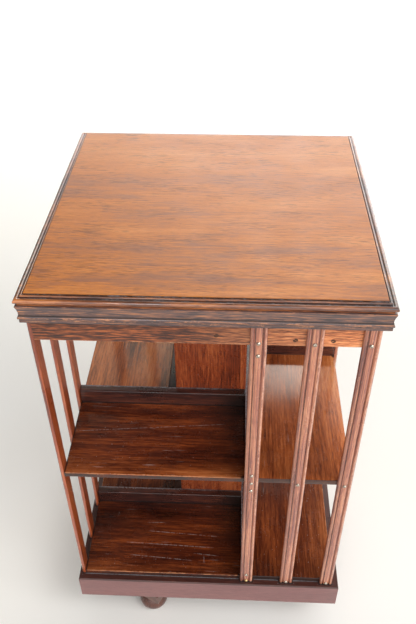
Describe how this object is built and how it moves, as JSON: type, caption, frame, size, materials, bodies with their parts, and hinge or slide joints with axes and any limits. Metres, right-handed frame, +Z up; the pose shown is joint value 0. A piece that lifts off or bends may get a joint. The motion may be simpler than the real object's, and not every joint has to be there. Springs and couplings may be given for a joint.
{
  "type": "revolving bookcase",
  "caption": "Square open wooden bookcase with reeded slats and a moulded top, turning on a fixed post above a cross base with bun feet.",
  "frame": {"origin": "on the floor, on the axis that the case turns about", "axes": "+Z up along the turning axis; -Y is the front, with +X to its right"},
  "size_m": [0.48, 0.48, 0.7945],
  "materials": {
    "top_wood": "french polished mahogany, warm brown with dark streaks",
    "moulding_wood": "polished dark mahogany, worn on the high lines",
    "frieze_wood": "polished mahogany with dark streaks",
    "slat_wood": "polished mahogany, reeded",
    "board_wood": "polished red-brown mahogany, scuffed by books",
    "column_wood": "polished red-brown mahogany with upright grain",
    "stop_wood": "polished dark mahogany",
    "plinth_wood": "satin mahogany",
    "base_wood": "stained hardwood",
    "softwood": "bare softwood",
    "iron": "dark iron",
    "steel": "bright steel screw heads",
    "brass": "plain brass",
    "dark_steel": "countersunk screw heads darkened by polish"
  },
  "bodies": {
    "base": {"cross_arm_lower": "base_wood", "cross_arm_upper": "base_wood", "bun_foot_front": "base_wood", "bun_foot_right": "base_wood", "bun_foot_back": "base_wood", "bun_foot_left": "base_wood", "post": "base_wood", "pivot_pin": "iron"},
    "case": {"top_board": "top_wood", "top_moulding_front": "moulding_wood", "top_moulding_right": "moulding_wood", "top_moulding_back": "moulding_wood", "top_moulding_left": "moulding_wood", "frieze_rail_front": "frieze_wood", "frieze_rail_right": "frieze_wood", "frieze_rail_back": "frieze_wood", "frieze_rail_left": "frieze_wood", "ceiling_board": "board_wood", "pivot_block": "softwood", "pivot_cup": "iron", "bearing_screws": "steel", "column_board_front": "column_wood", "column_board_right": "column_wood", "column_board_back": "column_wood", "column_board_left": "column_wood", "shelf_board_front": "board_wood", "shelf_board_right": "board_wood", "shelf_board_back": "board_wood", "shelf_board_left": "board_wood", "bottom_board_front": "board_wood", "bottom_board_right": "board_wood", "bottom_board_back": "board_wood", "bottom_board_left": "board_wood", "shelf_book_stops": "stop_wood", "bottom_book_stops": "stop_wood", "shelf_hanging_stops": "stop_wood", "ceiling_hanging_stops": "stop_wood", "inner_slat_front": "slat_wood", "inner_slat_right": "slat_wood", "inner_slat_back": "slat_wood", "inner_slat_left": "slat_wood", "middle_slat_front": "slat_wood", "middle_slat_right": "slat_wood", "middle_slat_back": "slat_wood", "middle_slat_left": "slat_wood", "corner_slat_front": "slat_wood", "corner_slat_right": "slat_wood", "corner_slat_back": "slat_wood", "corner_slat_left": "slat_wood", "plinth_rail_front": "plinth_wood", "plinth_rail_right": "plinth_wood", "plinth_rail_back": "plinth_wood", "plinth_rail_left": "plinth_wood", "bearing_board": "board_wood", "plinth_corner_blocks": "softwood", "top_glue_blocks": "softwood", "slat_screws": "steel", "brass_slat_screw": "brass", "frieze_screws": "dark_steel"}
  },
  "joints": [
    {"name": "case_turn", "type": "hinge", "parent": "base", "child": "case", "pos_m": [0, 0, 0.132], "axis": [0, 0, 1], "continuous": true}
  ]
}
